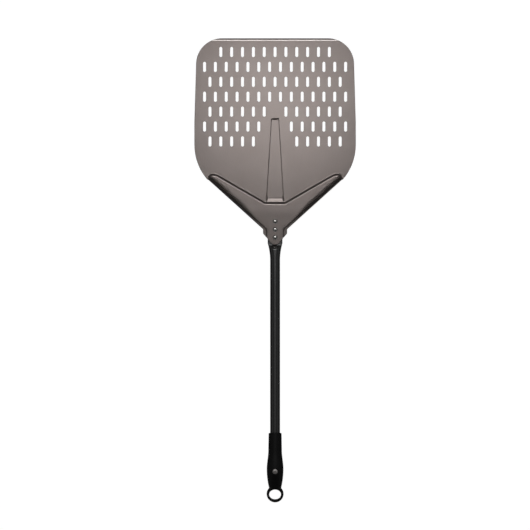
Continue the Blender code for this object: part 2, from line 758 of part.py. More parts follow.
def main():
    """Build the whole peel."""
    for old in list(bpy.data.objects):
        bpy.data.objects.remove(old)
    parts = collection("pizza_peel")
    cutters = collection("cutters")
    frame = make_handle_frame(parts)
    head_finish = material("anodised_aluminium", (0.29, 0.25, 0.235), 0.42, 0.9)
    tube_finish = material("black_coating", (0.012, 0.012, 0.013), 0.38, 0.0)
    grip_finish = material("black_plastic", (0.010, 0.010, 0.011), 0.50, 0.0)
    rivet_finish = material("bright_rivet_steel", (0.62, 0.60, 0.58), 0.22, 1.0)
    blind_finish = material("grey_rivet_aluminium", (0.40, 0.38, 0.36), 0.38, 1.0)
    pin_finish = material("rivet_pin_steel", (0.30, 0.29, 0.28), 0.45, 1.0)
    make_head(parts, cutters, head_finish)
    make_tube(parts, cutters, frame, tube_finish)
    make_neck_rivets(parts, frame, rivet_finish)
    make_grip(parts, cutters, frame, grip_finish)
    make_blind_rivet(parts, frame, blind_finish)
    make_rivet_pin(parts, frame, pin_finish)


main()
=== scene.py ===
"""Looks of a perforated pizza peel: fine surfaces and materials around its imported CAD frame.

Units are metres and +Z is up. +Y runs from the grip to the front edge of the blade. Distances on
the blade are measured back from that edge. Stations on the handle run along its axis to the grip.
"""

import json
import math

import bmesh
import bpy
import numpy as np
from mathutils import Matrix, Vector
from mathutils.geometry import delaunay_2d_cdt


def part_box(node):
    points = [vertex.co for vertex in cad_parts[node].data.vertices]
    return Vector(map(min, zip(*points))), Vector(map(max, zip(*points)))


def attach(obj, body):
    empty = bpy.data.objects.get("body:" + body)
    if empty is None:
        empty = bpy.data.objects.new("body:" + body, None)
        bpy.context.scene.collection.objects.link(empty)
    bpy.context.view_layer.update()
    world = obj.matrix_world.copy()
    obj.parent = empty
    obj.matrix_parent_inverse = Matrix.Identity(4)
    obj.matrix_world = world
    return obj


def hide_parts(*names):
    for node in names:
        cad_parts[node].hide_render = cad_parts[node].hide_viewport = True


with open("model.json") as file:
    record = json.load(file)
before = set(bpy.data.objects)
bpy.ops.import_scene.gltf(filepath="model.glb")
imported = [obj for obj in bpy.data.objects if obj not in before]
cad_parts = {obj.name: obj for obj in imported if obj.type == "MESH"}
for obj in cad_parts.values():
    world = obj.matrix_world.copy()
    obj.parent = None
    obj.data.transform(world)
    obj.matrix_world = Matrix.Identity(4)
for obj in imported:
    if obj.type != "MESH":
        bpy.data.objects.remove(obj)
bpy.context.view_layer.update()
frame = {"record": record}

# Places taken from the frame
BLADE_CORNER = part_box("blade_head")[1]
FRONT_Y = BLADE_CORNER.y
HALF_WIDTH = BLADE_CORNER.x
BLADE_TOP = next(m["pos_m"][2] for m in frame["record"]["mounts"] if m["name"] == "blade_top")

# Fits and thicknesses
FIT_GAP = 0.0003
SHEET = 0.0020
SHEET_EDGE = 0.0007
SLOT_EDGE = 0.0004

# Outline of the blade
FRONT_CORNER_RADIUS = 0.0528
FRONT_HALF_WIDTH = 0.1615
WIDEST_START = 0.171
WIDEST_END = 0.218
REAR_CORNER_RADIUS = 0.1084
REAR_CORNER_SWEEP = math.radians(40.6)
CHAMFER_WIDTH = 0.0037
CHAMFER_DEPTH = 0.0017
CHAMFER_FILLET = 0.0011

# Outline of the wings, the ears beside the neck and the tongue
WING_CORNER = (0.1363, 0.2897)
EAR_HALF_WIDTH = 0.0246
EAR_START = 0.3905
EAR_END = 0.3992
TONGUE_RADIUS = 0.0108
TONGUE_CENTER = 0.4115
CORNER_FILLET = 0.0014
CORNER_STEPS = 6

# Pressed step round the wings and the neck
STEP_HEIGHT = 0.0045
STEP_CENTER = (0.0203, 0.3368)
STEP_SLOPE = math.radians(29.9)
STEP_TIP_DISTANCE = 0.2787
STEP_TIP_CORNER = (0.1318, 0.2800)
STEP_TIP_SIDE = (0.1352, 0.2845)
STEP_RUN = 0.0036
STEP_FOOT_FILLET = 0.0015
STEP_TOP_FILLET = 0.0028
STEP_CORNER = 0.0030
STEP_BEND = STEP_CORNER / 3
STEP_BAND = 0.0045

# Flanges along the wings and beside the neck: a rounded fold, a crease and an outer lip
FOLD_RUN = 0.0085
FOLD_DROP = 0.0007
FOLD_FILLET = 0.15
CREASE_INSET = 0.0050
CREASE_RUN = 0.0019
CREASE_DROP = 0.0025
CREASE_FILLET = 0.0005
LIP_SLOPE = 0.15
EAR_CREASE_INSET = 0.0073
EAR_CREASE_ROUNDING = 0.0030
EAR_SHARE = 0.6
EAR_SHARE_RUN = 0.035

# Neck, bent up to the handle's angle
NECK_RISE_ANGLE = math.radians(7.0)
NECK_BEND_MIDDLE = 0.354
NECK_BEND_HALF = 0.016

# Tapered rib
RIB_DEPTH = 0.0020
RIB_START = 0.1640
RIB_END = 0.3349
RIB_START_HALF_WIDTH = 0.0077
RIB_END_HALF_WIDTH = 0.0182
RIB_WALL_RUN = 0.0019
RIB_SIDE_RUN = 0.0007
RIB_RAMP_RUN = 0.0092
RIB_FILLET = 0.35
RIB_CORNER = 0.5

# Slots: pitch across, and for each row the first and the last place counted in pitches
SLOT_WIDTH = 0.0060
SLOT_LENGTH = 0.0208
SLOT_PITCH = 0.02219
SLOT_ROW_PITCH = 0.0305
FIRST_SLOT_ROW = 0.0279
SLOT_ROWS = ((0.0, 5.0), (0.5, 6.5), (0.0, 6.0), (0.5, 6.5), (1.0, 6.0), (1.5, 6.5), (2.0, 6.0))

# Handle tube
HANDLE_START = 0.4115
TUBE_RADIUS = 0.0100
TUBE_WALL = 0.0015
FLAT_HALF_WIDTH = 0.0151
FLAT_HALF_HEIGHT = 0.0018
TUBE_FRONT = -0.0475
WIDTH_TAPER_START = 0.0070
WIDTH_TAPER_RUN = 0.0360
HEIGHT_TAPER_START = 0.0114
HEIGHT_TAPER_RUN = 0.0090
HEIGHT_TAPER_FILLET = 0.0008
TUBE_END = 0.4855
TUBE_END_EDGE = 0.0003
TAPER_FILLET = 0.0005

# Neck rivets
NECK_RIVET_STATIONS = (-0.0371, -0.0206, -0.0041)
RIVET_HEAD_RADIUS = 0.0050
RIVET_HEAD_HEIGHT = 0.0026
RIVET_SHANK_RADIUS = 0.0025
RIVET_TAIL_RADIUS = 0.0045
RIVET_TAIL_HEIGHT = 0.0018
RIVET_RIM = 0.0003

# Grip with its hanging ring
GRIP_START = 0.3978
GRIP_MOUTH_RADIUS = 0.0132
GRIP_MOUTH_ROUNDING = 0.0010
GRIP_BORE_FLARE = 0.0004
GRIP_SLEEVE_RADIUS = 0.0138
GRIP_SLEEVE_END = 0.4330
GRIP_SWELL_STATION = 0.4712
GRIP_SWELL_HALF_WIDTH = 0.0170
GRIP_SWELL_HALF_HEIGHT = 0.0152
GRIP_WAIST_STATION = 0.5090
GRIP_WAIST_HALF_WIDTH = 0.0127
GRIP_FLATTEN_START = 0.4765
GRIP_FLATTEN_END = 0.5190
GRIP_RING_OVERLAP = 0.0035
RING_STATION = 0.5225
RING_RADIUS = 0.0173
RING_HALF_THICKNESS = 0.0047
RING_SQUARENESS = 0.77
RING_HOLE_STATION = 0.5236
RING_HOLE_HALF_WIDTH = 0.01205
RING_HOLE_HALF_LENGTH = 0.0099

# Blind rivet of the grip
GRIP_RIVET_STATION = 0.4784
GRIP_SEAT_HEIGHT = 0.0142
BLIND_HEAD_RADIUS = 0.0052
BLIND_HEAD_HEIGHT = 0.0017
BLIND_BODY_RADIUS = 0.0024
BLIND_BORE_RADIUS = 0.0013
BLIND_BULB_RADIUS = 0.0034
BLIND_BULB_DEPTH = 0.0024
BLIND_BULB_POWER = 0.5
BLIND_END_HEIGHT = 0.0035
BLIND_RIM = 0.0002
BLIND_LIP = 0.0002
PIN_RADIUS = 0.0010
PIN_BREAK_DEPTH = 0.0006
PIN_BREAK_CHAMFER = 0.0002
PIN_HEAD_RADIUS = 0.0022
PIN_RIM_HEIGHT = 0.0008
PIN_CROWN_HEIGHT = 0.0012

# Fineness of the meshes
DIFFERENCE_STEP = 0.00005
EDGE_SPACING = 0.0018
CREASE_SPACING = 0.0030
ARC_STEP = math.radians(5)
STEP_LINES = 10
CREASE_LINES = 6
CREASE_BAND = 0.0017
FOLD_LINES = 8
LIP_LINE_SPACING = 0.0009
NECK_LINES = 5
RIB_LINES = 14
RIB_BAND = 0.6
RIM_STEPS = 4
RIM_SHARE = 0.48
MITRE_LIMIT = 0.6
CDT_EPSILON = 1e-7
CDT_WHOLE_HULL = 0
MERGE_DISTANCE = 1e-5
SHARP_ANGLE = math.radians(40)
TUBE_SIDES = 96
TUBE_END_SEGMENTS = 2
TUBE_END_ANGLE = math.radians(50)
TAPER_STEPS = 100
STRAIGHT_STEPS = 6
GRIP_SIDES = 80
GRIP_STEPS = 60
RING_SECTION_SIDES = 40
GRIP_VOXEL = 0.00045
GRIP_SMOOTHING = 6
GRIP_SMOOTHING_SHARE = 0.5
TURNED_STEPS = 72
DOME_STEPS = 14
DOME_RIM_STEPS = 6
BULB_STEPS = 10

# Colours of the finishes, mostly a darker and a paler shade that a pattern runs between
WARM_GREYS = ((0.285, 0.245, 0.230), (0.315, 0.274, 0.259))
STREAK_SHADES = ((0.975, 0.975, 0.975), (1.0, 1.0, 1.0))
GRAIN_SHADES = ((0.90, 0.90, 0.90), (1.0, 1.0, 1.0))
# Paler grey of edges that stand out: partly wear, partly painted highlight
WORN_AND_HIGHLIGHT_GREY = (0.44, 0.40, 0.38, 1.0)
# Paler grey of the painted highlight line just behind the front chamfer
PAINTED_HIGHLIGHT_GREY = (0.60, 0.555, 0.53, 1.0)
COATING_BLACKS = ((0.004, 0.004, 0.0045), (0.007, 0.0066, 0.0066))
PLASTIC_BLACKS = ((0.0035, 0.0035, 0.0037), (0.0060, 0.0060, 0.0062))
BRIGHT_STEELS = ((0.62, 0.60, 0.58), (0.74, 0.72, 0.70))
DULL_STEELS = ((0.22, 0.21, 0.20), (0.34, 0.33, 0.32))
GREY_ALUMINIUMS = ((0.48, 0.455, 0.44), (0.60, 0.575, 0.555))
FLOOR_GREYS = ((0.10, 0.10, 0.10), (0.11, 0.11, 0.11))

# Patterns: width of the painted highlight line behind the chamfer, the range that noise mostly
# keeps to and a Mix node's colour sockets
PAINTED_HIGHLIGHT_WIDTH = 0.0012
NOISE_LOW = 0.3
NOISE_HIGH = 0.7
MIX_SHARE, MIX_FIRST, MIX_SECOND, MIX_RESULT = 0, 6, 7, 2

# Stage and view
FLOOR_HALF_SIZE = 20.0
FLOOR_GLOW = 0.99
# Glow of the surroundings, from the horizon to the zenith: sine of the elevation and level
STUDIO_GLOW = ((0.0, 0.02), (0.07, 0.02), (0.17, 0.15), (0.50, 0.15), (0.72, 0.06), (0.85, 0.02))
BACKGROUND_PALE = (0.97, 0.97, 0.97, 1.0)
CAMERA_LENS = 1000.0
CAMERA_SENSOR = 36.0
FIELD = 1.084
CAMERA_OVER = (-0.0206, 0.0104)

# Lights: place, what they face, size across and along, spread and power
LIGHTS = {
    "key_light": ((0.0, 0.35, 2.3), (0.0, 0.35, 0.0), (0.36, 0.38), math.radians(14), 0.0176),
    "overhead_softbox": ((0.0, 0.90, 2.5), (0.0, 0.30, 0.0), (2.4, 1.4), math.pi, 1.8),
    "front_light": ((0.0, 1.37, 1.88), (0.0, 0.15, 0.0), (1.5, 0.50), math.pi, 12.0),
}


# -------- profiles

def positive(value, rounding):
    """The positive part of a value, with a fillet in place of its corner."""
    blend = np.clip(value + rounding, 0.0, 2 * rounding)
    return np.where(value > rounding, value, blend * blend / (4 * rounding))


def larger(first, second, rounding):
    """The larger of two values, blended where they meet."""
    return second + positive(first - second, rounding)


def smaller(first, second, rounding):
    """The smaller of two values, blended where they meet."""
    return first - positive(first - second, rounding)


def ramp(value, run, rounding):
    """A rise from 0 to 1 over a run that starts at 0, with a fillet at each end."""
    return (positive(value, rounding) - positive(value - run, rounding)) / run


def ease(value):
    """A smooth step from 0 to 1."""
    value = np.clip(value, 0.0, 1.0)
    return value * value * (3.0 - 2.0 * value)


def side_of(x, distance, start, end):
    """How far points lie to the handle side of a line that runs outwards from start to end."""
    run = (end[0] - start[0], end[1] - start[1])
    cross = run[0] * (distance - start[1]) - run[1] * (x - start[0])
    return cross / math.hypot(*run)


def inside_step(x, distance):
    """Distance inside the raised wings and neck; negative on the blade."""
    across = np.abs(x)
    arm_run = STEP_TIP_CORNER[0] - STEP_CENTER[0]
    arm_end = (STEP_TIP_CORNER[0], STEP_CENTER[1] - arm_run * math.tan(STEP_SLOPE))
    neck = distance - STEP_CENTER[1]
    arm = side_of(across, distance, STEP_CENTER, arm_end)
    tip = distance - STEP_TIP_DISTANCE
    corner = side_of(across, distance, STEP_TIP_CORNER, STEP_TIP_SIDE)
    side = side_of(across, distance, STEP_TIP_SIDE, WING_CORNER)
    inside = smaller(larger(neck, arm, STEP_BEND), tip, STEP_CORNER)
    return smaller(smaller(inside, corner, STEP_CORNER), side, STEP_CORNER)


def inside_crease(x, distance):
    """Distance inside the crease that runs along the wings and past the ears."""
    across = np.abs(x)
    wing = -side_of(across, distance, (EAR_HALF_WIDTH, EAR_START), WING_CORNER)
    ear = EAR_HALF_WIDTH - across
    return larger(wing - CREASE_INSET, ear - EAR_CREASE_INSET, EAR_CREASE_ROUNDING)


def flange_fall(x, distance):
    """Height lost on the flanges, which grow shallow beside the neck."""
    inside = inside_crease(x, distance)
    fold = FOLD_DROP * positive(1.0 - inside / FOLD_RUN, FOLD_FILLET) ** 2
    crease = CREASE_DROP * ramp(CREASE_RUN / 2 - inside, CREASE_RUN, CREASE_FILLET)
    lip = LIP_SLOPE * positive(-inside, CREASE_FILLET)
    fold = np.where(inside < 0.0, FOLD_DROP, fold)
    reach = ease((np.abs(x) - EAR_HALF_WIDTH) / EAR_SHARE_RUN)
    return (EAR_SHARE + (1.0 - EAR_SHARE) * reach) * (fold + crease + lip)


def neck_rise(distance):
    """The neck curves upwards and then runs straight at the handle's angle."""
    return math.tan(NECK_RISE_ANGLE) * positive(distance - NECK_BEND_MIDDLE, NECK_BEND_HALF)


def rib_half_width(distance):
    """Half the rib's width at its rim."""
    along = (distance - RIB_START) / (RIB_END - RIB_START)
    return RIB_START_HALF_WIDTH + along * (RIB_END_HALF_WIDTH - RIB_START_HALF_WIDTH)


def rib_share(x, distance):
    """How much of the rib's depth is reached at a point."""
    wall = (rib_half_width(distance) - np.abs(x)) / RIB_SIDE_RUN
    start = (distance - RIB_START) / RIB_WALL_RUN
    end = (RIB_END - distance) / RIB_RAMP_RUN
    inside = smaller(smaller(wall, start, RIB_CORNER), end, RIB_CORNER)
    return ramp(inside, 1.0, RIB_FILLET)


def raised_share(x, distance):
    """How much of the pressed step's height is reached at a point."""
    inside = inside_step(x, distance)
    foot = positive(inside + STEP_RUN / 2, STEP_FOOT_FILLET)
    return (foot - positive(inside - STEP_RUN / 2, STEP_TOP_FILLET)) / STEP_RUN


def raised_height(x, distance):
    """Height of the wings and the neck above the blade."""
    return STEP_HEIGHT + neck_rise(distance) - flange_fall(x, distance)


def sheet_height(x, distance):
    """Height of the sheet's upper face, before its front edge is chamfered."""
    raised = raised_share(x, distance) * raised_height(x, distance)
    return BLADE_TOP + raised - RIB_DEPTH * rib_share(x, distance)


def chamfer(distance):
    """Depth that the front edge's chamfer takes off the upper face."""
    return positive(CHAMFER_WIDTH - distance, CHAMFER_FILLET) * CHAMFER_DEPTH / CHAMFER_WIDTH


def chamfered_height(x, distance):
    """Height of the sheet's upper face."""
    return sheet_height(x, distance) - chamfer(distance)


def normals_of(height, x, distance):
    """Upward normals of a surface that is given by its height over the plan."""
    step = DIFFERENCE_STEP
    across = (height(x + step, distance) - height(x - step, distance)) / (2 * step)
    along = (height(x, distance + step) - height(x, distance - step)) / (2 * step)
    normals = np.stack([-across, along, np.ones(len(x))], axis=1)
    return normals / np.linalg.norm(normals, axis=1)[:, None]


def sheet_points(plan, depth):
    """Points at a depth in the sheet, square to its folds but not to its pressed steps."""
    x, distance = plan[:, 0], plan[:, 1]
    raised = raised_share(x, distance)
    through = normals_of(lambda *place: raised * raised_height(*place), x, distance)
    surface = np.stack([x, FRONT_Y - distance, sheet_height(x, distance)], axis=1)
    return surface - through * np.reshape(depth, (-1, 1))


# -------- plan of the blade

def arc(center, radius, start, end):
    """Points on an arc; angles run from +X towards the handle."""
    count = max(2, math.ceil(abs(end - start) / ARC_STEP))
    angles = [start + (end - start) * index / count for index in range(count + 1)]
    return [(center[0] + radius * math.cos(a), center[1] + radius * math.sin(a)) for a in angles]


def filleted(before, corner, after):
    """A corner of an outline as a short curve."""
    corner = Vector(corner)
    into = corner + (Vector(before) - corner).normalized() * CORNER_FILLET
    out = corner + (Vector(after) - corner).normalized() * CORNER_FILLET
    points = []
    for index in range(CORNER_STEPS + 1):
        t = index / CORNER_STEPS
        points.append(tuple((1 - t) ** 2 * into + 2 * t * (1 - t) * corner + t * t * out))
    return points


def subdivided(points, spacing, closed):
    """A line with its long stretches split."""
    ends = points[1:] + points[:1] if closed else points[1:]
    made = []
    for start, end in zip(points, ends):
        pieces = max(1, math.ceil(math.dist(start, end) / spacing))
        for index in range(pieces):
            share = index / pieces
            made.append((start[0] + (end[0] - start[0]) * share,
                         start[1] + (end[1] - start[1]) * share))
    return made if closed else made + [points[-1]]


def outward_vectors(loop):
    """For each point of a loop, the move that brings both edges beside it out by one unit."""
    runs = np.roll(loop, -1, axis=0) - loop
    runs /= np.linalg.norm(runs, axis=1)[:, None]
    sides = np.stack([runs[:, 1], -runs[:, 0]], axis=1)
    mean = sides + np.roll(sides, 1, axis=0)
    mean /= np.linalg.norm(mean, axis=1)[:, None]
    return mean / np.maximum(MITRE_LIMIT, np.sum(mean * sides, axis=1))[:, None]


def head_outline():
    """The closed outline of the head, short of its rounded edge."""
    front_center = (FRONT_HALF_WIDTH - FRONT_CORNER_RADIUS, FRONT_CORNER_RADIUS)
    rear_center = (HALF_WIDTH - REAR_CORNER_RADIUS, WIDEST_END)
    right = arc(front_center, FRONT_CORNER_RADIUS, -math.pi / 2, 0.0)
    right.append((HALF_WIDTH, WIDEST_START))
    right += arc(rear_center, REAR_CORNER_RADIUS, 0.0, REAR_CORNER_SWEEP)
    ear_front = (EAR_HALF_WIDTH, EAR_START)
    ear_back = (EAR_HALF_WIDTH, EAR_END)
    ear_reach = math.hypot(EAR_HALF_WIDTH, EAR_END - TONGUE_CENTER)
    contact = math.atan2(EAR_END - TONGUE_CENTER, EAR_HALF_WIDTH)
    contact += math.acos(TONGUE_RADIUS / ear_reach)
    tongue = arc((0.0, TONGUE_CENTER), TONGUE_RADIUS, contact, math.pi / 2)
    right += filleted(right[-1], WING_CORNER, ear_front)
    right += filleted(WING_CORNER, ear_front, ear_back)
    right += filleted(ear_front, ear_back, tongue[0])
    right += tongue
    left = [(-x, distance) for x, distance in reversed(right[:-1])]
    loop = np.array(subdivided(right + left, EDGE_SPACING, closed=True))
    return loop - SHEET_EDGE * outward_vectors(loop)


def slot_centers():
    """The centre of every slot, row by row from the front edge."""
    centers = []
    for row, (first, last) in enumerate(SLOT_ROWS):
        distance = FIRST_SLOT_ROW + row * SLOT_ROW_PITCH
        for index in range(int(last - first) + 1):
            x = (first + index) * SLOT_PITCH
            centers.append((x, distance))
            if x > 0.0:
                centers.append((-x, distance))
    return centers


def slot_outline(center):
    """A slot with round ends, its length along the peel, widened by its rounded edge."""
    x, distance = center
    straight = (SLOT_LENGTH - SLOT_WIDTH) / 2
    radius = SLOT_WIDTH / 2 + SLOT_EDGE
    rear = arc((x, distance + straight), radius, 0.0, math.pi)
    front = arc((x, distance - straight), radius, math.pi, 2 * math.pi)
    return np.array(subdivided(rear + front, SLOT_LENGTH / 4, closed=True))


def rivet_hole_outline(station):
    """A rivet hole in the neck, widened by its rounded edge."""
    distance = HANDLE_START + station * math.cos(NECK_RISE_ANGLE)
    radius = RIVET_SHANK_RADIUS + FIT_GAP + SLOT_EDGE
    return np.array(arc((0.0, distance), radius, 0.0, 2 * math.pi)[:-1])


def step_line(inset):
    """A line that follows the step at a constant inset, from the centre past the wing's side."""
    mitre = inset * math.tan(STEP_SLOPE / 2)
    rise = inset / math.cos(STEP_SLOPE)
    tip = STEP_TIP_DISTANCE + inset
    arm_x = STEP_CENTER[0] + (STEP_CENTER[1] + rise - tip) / math.tan(STEP_SLOPE)
    corner = Vector(STEP_TIP_SIDE) - Vector(STEP_TIP_CORNER)
    turn = math.atan2(corner.y, corner.x)
    corner_x = STEP_TIP_CORNER[0] - (STEP_TIP_CORNER[1] - STEP_TIP_DISTANCE) / math.tan(turn)
    side = Vector(STEP_TIP_SIDE) + inset * Vector((-corner.y, corner.x)).normalized()
    past_edge = side + 2 * (Vector(WING_CORNER) - Vector(STEP_TIP_SIDE))
    return [(0.0, STEP_CENTER[1] + inset), (STEP_CENTER[0] + mitre, STEP_CENTER[1] + inset),
            (arm_x, tip), (corner_x - inset * math.tan(turn / 2), tip), tuple(side),
            tuple(past_edge)]


def flange_line(inside):
    """A line at a constant distance inside the crease of a wing and of the ear beside it."""
    corner = Vector((EAR_HALF_WIDTH, EAR_START))
    edge = (corner - Vector(WING_CORNER)).normalized()
    start = Vector(WING_CORNER) + Vector((-edge.y, edge.x)) * (CREASE_INSET + inside)
    start -= edge * FOLD_RUN
    ear_x = EAR_HALF_WIDTH - EAR_CREASE_INSET - inside
    bend = start + edge * ((ear_x - start.x) / edge.x)
    return [tuple(start), tuple(bend), (ear_x, TONGUE_CENTER)]


def rib_line(share):
    """The rib's closed contour at a share of its depth."""
    start = RIB_START + share * RIB_WALL_RUN
    end = RIB_END - share * RIB_RAMP_RUN
    start_x = rib_half_width(start) - share * RIB_SIDE_RUN
    end_x = rib_half_width(end) - share * RIB_SIDE_RUN
    return [(start_x, start), (end_x, end), (-end_x, end), (-start_x, start)]


def crease_lines():
    """Lines along which the fine surface gets points, besides its outlines and the rib."""
    lines = []
    for index in range(-STEP_LINES, STEP_LINES + 1):
        lines.append(step_line(index * STEP_BAND / STEP_LINES))
    for index in range(-CREASE_LINES, CREASE_LINES + 1):
        lines.append(flange_line(index * CREASE_BAND / CREASE_LINES))
    for index in range(1, FOLD_LINES + 1):
        lines.append(flange_line(CREASE_BAND + index * FOLD_RUN / (FOLD_LINES - 1)))
        lines.append(flange_line(-CREASE_BAND - index * LIP_LINE_SPACING))
    lines += [[(-x, distance) for x, distance in line] for line in lines]
    for index in range(-NECK_LINES, NECK_LINES + 1):
        distance = NECK_BEND_MIDDLE + NECK_BEND_HALF * index / NECK_LINES
        lines.append([(-HALF_WIDTH, distance), (HALF_WIDTH, distance)])
    for index in range(-1, 2):
        distance = CHAMFER_WIDTH + index * CHAMFER_FILLET
        lines.append([(-FRONT_HALF_WIDTH, distance), (FRONT_HALF_WIDTH, distance)])
    return lines


# -------- fine mesh of the blade

def encloses(loop, points):
    """Which points a closed loop goes round."""
    inside = np.zeros(len(points), bool)
    for start, end in zip(loop, np.roll(loop, -1, axis=0)):
        if start[1] == end[1]:
            continue
        spans = (start[1] > points[:, 1]) != (end[1] > points[:, 1])
        share = (points[:, 1] - start[1]) / (end[1] - start[1])
        inside ^= spans & (points[:, 0] < start[0] + share * (end[0] - start[0]))
    return inside


def plan_triangles():
    """The blade's plan, short of its rounded edges, as points and triangles."""
    outline = head_outline()
    holes = [slot_outline(center) for center in slot_centers()]
    holes += [rivet_hole_outline(station) for station in NECK_RIVET_STATIONS]
    loops = [outline, *holes]
    for index in range(RIB_LINES + 1):
        share = (1 + 2 * RIB_BAND) * index / RIB_LINES - RIB_BAND
        loops.append(subdivided(rib_line(share), CREASE_SPACING, closed=True))
    points, edges = [], []
    for loop in loops:
        first, count = len(points), len(loop)
        points += [Vector(point) for point in loop]
        edges += [(first + index, first + (index + 1) % count) for index in range(count)]
    for line in crease_lines():
        first = len(points)
        line = subdivided(line, CREASE_SPACING, closed=False)
        points += [Vector(point) for point in line]
        edges += [(first + index, first + index + 1) for index in range(len(line) - 1)]
    places, _, triangles, *_ = delaunay_2d_cdt(points, edges, [], CDT_WHOLE_HULL, CDT_EPSILON)
    plan = np.array(places, float)
    triangles = np.array(triangles)
    centers = plan[triangles].mean(axis=1)
    kept = encloses(outline, centers)
    for hole in holes:
        offsets = np.abs(centers - hole.mean(axis=0)).max(axis=1)
        near = np.flatnonzero(offsets < SLOT_LENGTH)
        kept[near[encloses(hole, centers[near])]] = False
    return plan, triangles[kept]


def boundary_loops(triangles):
    """Closed loops of point numbers round a set of triangles, the material on their right."""
    edges = set()
    for a, b, c in triangles.tolist():
        edges.update(((a, b), (b, c), (c, a)))
    following = {b: a for a, b in edges if (b, a) not in edges}
    loops = []
    while following:
        start, point = following.popitem()
        loop = [start]
        while point != start:
            loop.append(point)
            point = following.pop(point)
        loops.append(np.array(loop))
    return loops


def rim_profile(radius, thickness):
    """Inset, depth and angle from the upper face's normal of each row of a rounded rim."""
    rows = []
    for index in range(1, RIM_STEPS + 1):
        angle = math.pi / 2 * index / RIM_STEPS
        rows.append((radius * (1 - math.sin(angle)), radius * (1 - math.cos(angle)), angle))
    for index in range(RIM_STEPS):
        angle = math.pi / 2 * (1 + index / RIM_STEPS)
        depth = thickness - radius * (1 + math.cos(angle))
        rows.append((radius * (1 - math.sin(angle)), depth, angle))
    return rows


class SheetMesh:
    """Points, their exact normals and the faces between them."""

    def __init__(self):
        self.points = []
        self.normals = []
        self.faces = []
        self.count = 0

    def add(self, points, normals):
        """Add points and give back their numbers."""
        self.points.append(points)
        self.normals.append(normals)
        first = self.count
        self.count += len(points)
        return np.arange(first, self.count)

    def join(self, upper, lower):
        """Faces between two closed rows of points."""
        quads = [upper, np.roll(upper, -1), np.roll(lower, -1), lower]
        self.faces += np.stack(quads, axis=1).tolist()

    def mesh(self, name):
        """The Blender mesh, without loose points."""
        made = bpy.data.meshes.new(name)
        used = np.zeros(self.count, bool)
        for face in self.faces:
            used[face] = True
        number = np.cumsum(used) - 1
        faces = [number[face].tolist() for face in self.faces]
        points = np.concatenate(self.points)[used]
        made.from_pydata(points.tolist(), [], faces)
        made.shade_smooth()
        normals = np.concatenate(self.normals)[used]
        made.normals_split_custom_set_from_vertices(normals.tolist())
        return made


def add_rim(sheet, upper, lower, around, edge):
    """Close the edge between the upper and the lower face along one loop."""
    outward = outward_vectors(around)
    top = chamfer(around[:, 1])
    thickness = SHEET - top
    radius = np.minimum(edge, thickness * RIM_SHARE)
    away = sheet_points(around + outward * edge, top) - sheet_points(around, top)
    up_normals = normals_of(chamfered_height, around[:, 0], around[:, 1])
    down_normals = normals_of(sheet_height, around[:, 0], around[:, 1])
    previous = upper
    for inset, depth, angle in rim_profile(radius, thickness):
        normals = up_normals if angle <= math.pi / 2 else down_normals
        across = away - normals * np.sum(away * normals, axis=1)[:, None]
        across /= np.linalg.norm(across, axis=1)[:, None]
        shift = (edge - inset)[:, None] * outward
        places = sheet_points(around + shift, top + depth)
        row = sheet.add(places, normals * math.cos(angle) + across * math.sin(angle))
        sheet.join(previous, row)
        previous = row
    sheet.join(previous, lower)


def blade_mesh():
    """The pressed sheet with both faces, rounded rims and exact normals."""
    plan, triangles = plan_triangles()
    sheet = SheetMesh()
    x, distance = plan[:, 0], plan[:, 1]
    top = sheet_points(plan, chamfer(distance))
    upper = sheet.add(top, normals_of(chamfered_height, x, distance))
    lower = sheet.add(sheet_points(plan, SHEET), -normals_of(sheet_height, x, distance))
    corners = top[triangles]
    turn = np.cross(corners[:, 1] - corners[:, 0], corners[:, 2] - corners[:, 0])
    downward = turn[:, 2] < 0.0
    triangles[downward] = triangles[downward][:, ::-1]
    sheet.faces += upper[triangles].tolist() + lower[triangles[:, ::-1]].tolist()
    for loop in boundary_loops(triangles):
        around = plan[loop]
        edge = SLOT_EDGE if np.ptp(around, axis=0).max() < 2 * SLOT_LENGTH else SHEET_EDGE
        add_rim(sheet, upper[loop], lower[loop], around, edge)
    return sheet.mesh("perforated_blade")


# -------- mesh tools

def new_object(name, data):
    """A new object in the scene."""
    made = bpy.data.objects.new(name, data)
    bpy.context.scene.collection.objects.link(made)
    return made


def mesh_from(work, name):
    """The mesh that a bmesh holds; the bmesh goes."""
    made = bpy.data.meshes.new(name)
    work.to_mesh(made)
    work.free()
    return made


def evaluated_mesh(holder):
    """The mesh that an object's modifiers make; the object goes."""
    graph = bpy.context.evaluated_depsgraph_get()
    graph.update()
    made = bpy.data.meshes.new_from_object(holder.evaluated_get(graph))
    bpy.data.objects.remove(holder)
    return made


def modified(mesh, kind, **settings):
    """A mesh after one modifier."""
    holder = new_object("shaping", mesh)
    modifier = holder.modifiers.new(kind, kind)
    for name, value in settings.items():
        setattr(modifier, name, value)
    return evaluated_mesh(holder)


def cut(mesh, cutter):
    """A mesh with another one cut out of it, without the slivers that the cut leaves."""
    helper = new_object("cutter", cutter)
    made = modified(mesh, "BOOLEAN", operation="DIFFERENCE", solver="EXACT", object=helper)
    bpy.data.objects.remove(helper)
    return modified(made, "WELD", merge_threshold=MERGE_DISTANCE)


def joined(meshes):
    """One mesh that holds several, each as it is."""
    work = bmesh.new()
    for mesh in meshes:
        work.from_mesh(mesh)
    return mesh_from(work, "joined")


def shade_round(mesh):
    """Smooth shading that keeps the sharp edges."""
    mesh.shade_smooth()
    mesh.set_sharp_from_angle(angle=SHARP_ANGLE)
    return mesh


